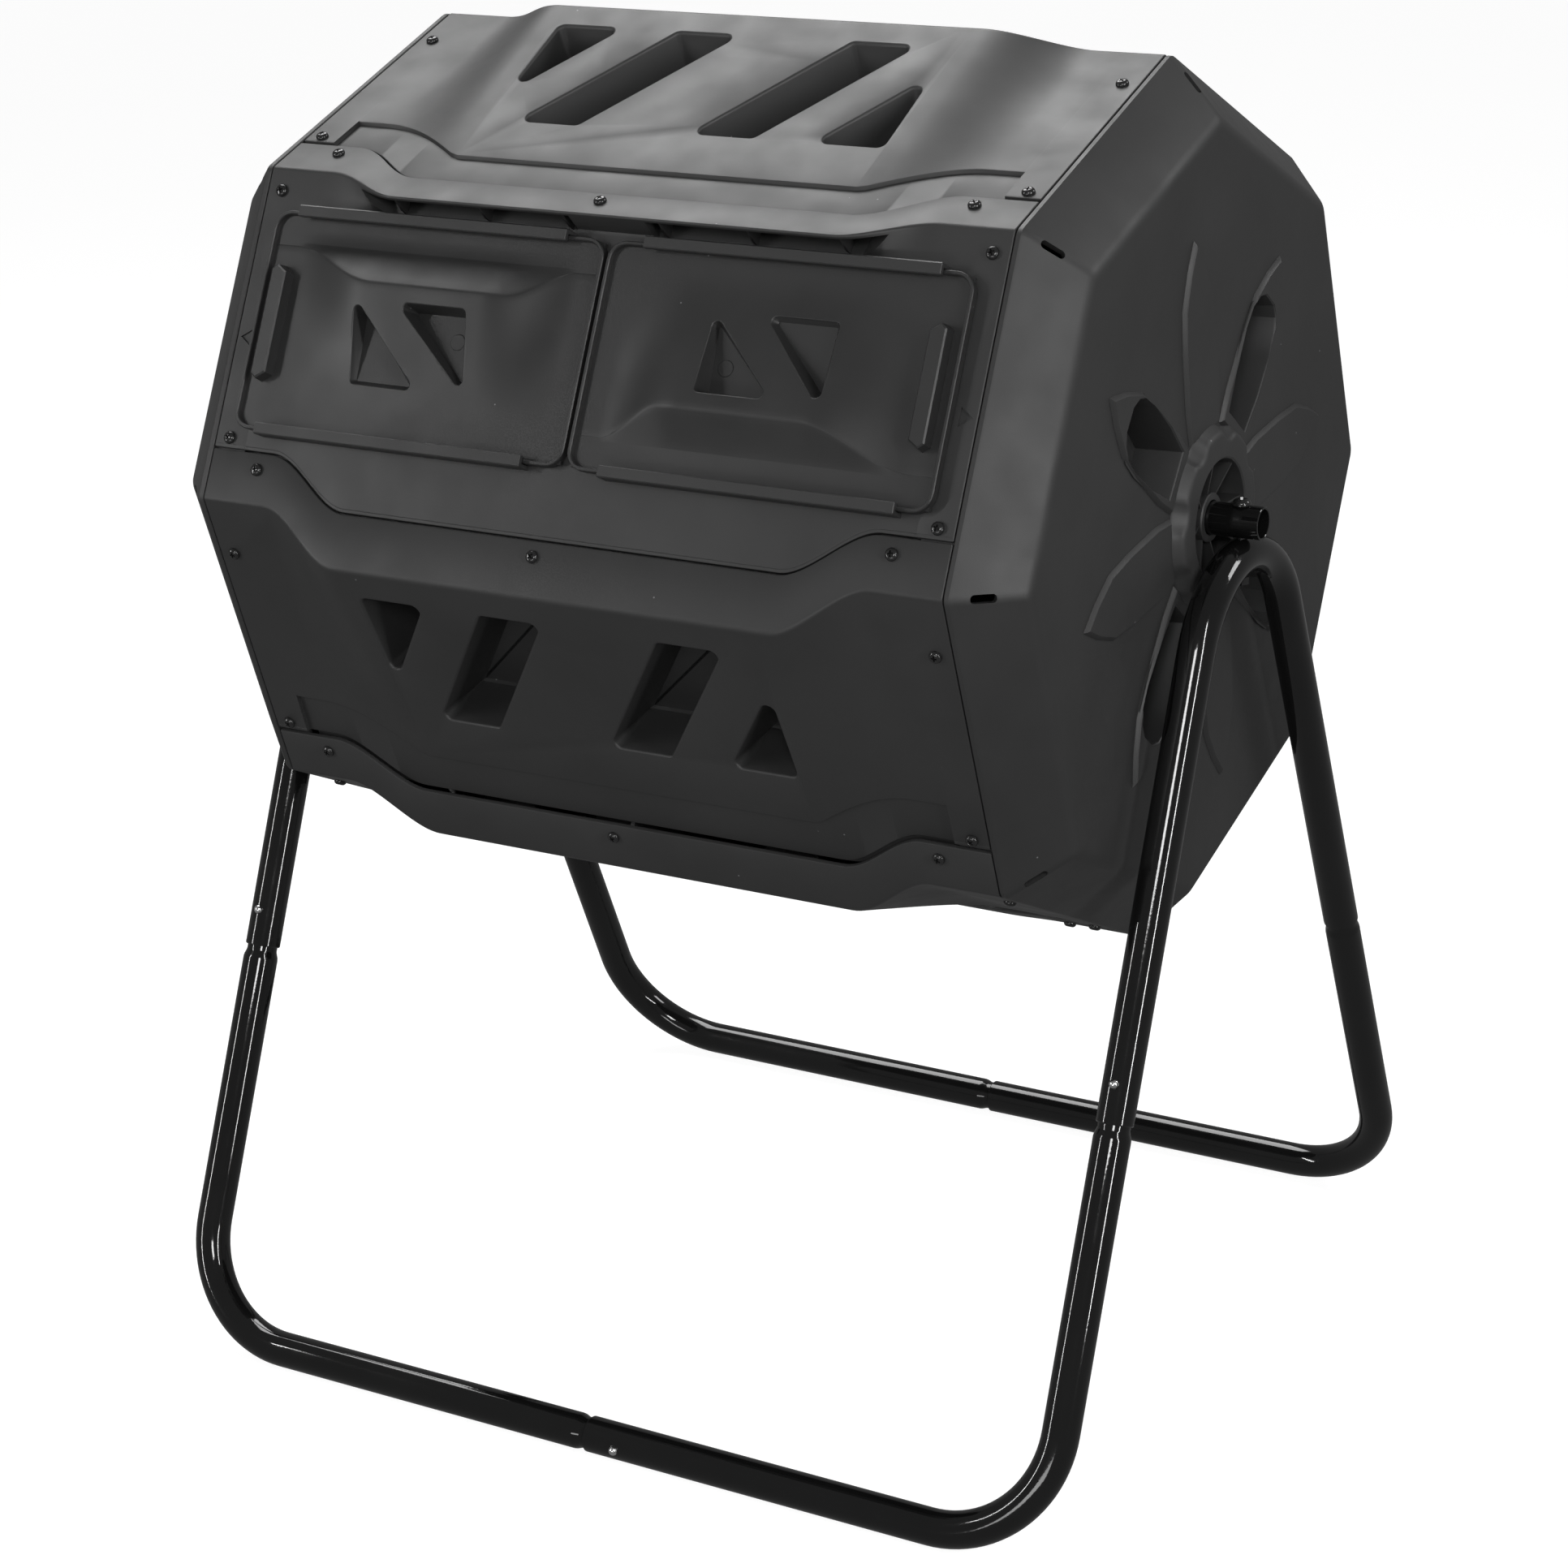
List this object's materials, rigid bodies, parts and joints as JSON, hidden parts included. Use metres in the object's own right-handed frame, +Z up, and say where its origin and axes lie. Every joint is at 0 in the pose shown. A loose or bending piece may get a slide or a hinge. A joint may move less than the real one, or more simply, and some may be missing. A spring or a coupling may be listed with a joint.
{
  "type": "compost tumbler",
  "caption": "Eight-sided two-chamber compost drum with sliding doors that turns on an axle tube carried by a tubular steel stand.",
  "frame": {"origin": "on the floor, midway between the four feet", "axes": "+X along the axle to the right-hand end, -Y towards the side with the doors, +Z up"},
  "size_m": [0.715, 0.6414, 0.9329],
  "materials": {
    "panel_plastic": "fine matte grain",
    "cap_plastic": "fine matte grain",
    "divider_plastic": "fine matte grain",
    "door_plastic": "fine matte grain",
    "coated_steel": "glossy powder coat",
    "black_screws": "glossy black",
    "black_bolts": "glossy black",
    "bright_steel": "bright"
  },
  "bodies": {
    "stand": {"left_leg": "coated_steel", "right_leg": "coated_steel", "front_left_foot": "coated_steel", "front_right_foot": "coated_steel", "rear_left_foot": "coated_steel", "rear_right_foot": "coated_steel", "axle_tube": "coated_steel", "left_axle_bolt": "black_bolts", "right_axle_bolt": "black_bolts", "left_axle_nut": "black_bolts", "right_axle_nut": "black_bolts"},
    "drum": {"top_front_panel": "panel_plastic", "door_panel": "panel_plastic", "front_panel": "panel_plastic", "bottom_front_panel": "panel_plastic", "bottom_rear_panel": "panel_plastic", "rear_panel": "panel_plastic", "rear_upper_panel": "panel_plastic", "top_rear_panel": "panel_plastic", "left_end_cap": "cap_plastic", "right_end_cap": "cap_plastic", "divider": "divider_plastic", "top_front_screw_1": "black_screws", "top_front_screw_2": "black_screws", "top_front_screw_3": "black_screws", "top_front_screw_4": "black_screws", "top_front_screw_5": "black_screws", "top_front_screw_6": "black_screws", "top_front_screw_7": "black_screws", "door_panel_screw_1": "black_screws", "door_panel_screw_2": "black_screws", "door_panel_screw_3": "black_screws", "door_panel_screw_4": "black_screws", "door_panel_screw_5": "black_screws", "door_panel_screw_6": "black_screws", "door_panel_screw_7": "black_screws", "front_screw_1": "black_screws", "front_screw_2": "black_screws", "front_screw_3": "black_screws", "front_screw_4": "black_screws", "front_screw_5": "black_screws", "front_screw_6": "black_screws", "front_screw_7": "black_screws"},
    "left_door": {"left_door": "door_plastic"},
    "right_door": {"right_door": "door_plastic"},
    "front_left_leg_button": {"front_left_leg_button": "bright_steel"},
    "front_right_leg_button": {"front_right_leg_button": "bright_steel"},
    "rear_left_leg_button": {"rear_left_leg_button": "bright_steel"},
    "rear_right_leg_button": {"rear_right_leg_button": "bright_steel"},
    "front_floor_button": {"front_floor_button": "bright_steel"},
    "rear_floor_button": {"rear_floor_button": "bright_steel"}
  },
  "joints": [
    {"name": "drum_spin", "type": "hinge", "parent": "stand", "child": "drum", "pos_m": [0, 0, 0.6215], "axis": [1, 0, 0], "continuous": true},
    {"name": "left_door_slide", "type": "slide", "parent": "drum", "child": "left_door", "axis": [-1, 0, 0], "range_m": [0, 0.205]},
    {"name": "right_door_slide", "type": "slide", "parent": "drum", "child": "right_door", "axis": [1, 0, 0], "range_m": [0, 0.205]},
    {"name": "front_left_leg_button_press", "type": "slide", "parent": "stand", "child": "front_left_leg_button", "axis": [0, 0.9177, -0.3973], "range_m": [0, 0.005], "stiffness_N_per_m": 600, "springref_m": -0.003},
    {"name": "front_right_leg_button_press", "type": "slide", "parent": "stand", "child": "front_right_leg_button", "axis": [0, 0.9177, -0.3973], "range_m": [0, 0.005], "stiffness_N_per_m": 600, "springref_m": -0.003},
    {"name": "front_floor_button_press", "type": "slide", "parent": "stand", "child": "front_floor_button", "axis": [0, 1, 0], "range_m": [0, 0.005], "stiffness_N_per_m": 600, "springref_m": -0.003},
    {"name": "rear_left_leg_button_press", "type": "slide", "parent": "stand", "child": "rear_left_leg_button", "axis": [0, -0.9177, -0.3973], "range_m": [0, 0.005], "stiffness_N_per_m": 600, "springref_m": -0.003},
    {"name": "rear_right_leg_button_press", "type": "slide", "parent": "stand", "child": "rear_right_leg_button", "axis": [0, -0.9177, -0.3973], "range_m": [0, 0.005], "stiffness_N_per_m": 600, "springref_m": -0.003},
    {"name": "rear_floor_button_press", "type": "slide", "parent": "stand", "child": "rear_floor_button", "axis": [0, -1, 0], "range_m": [0, 0.005], "stiffness_N_per_m": 600, "springref_m": -0.003}
  ]
}
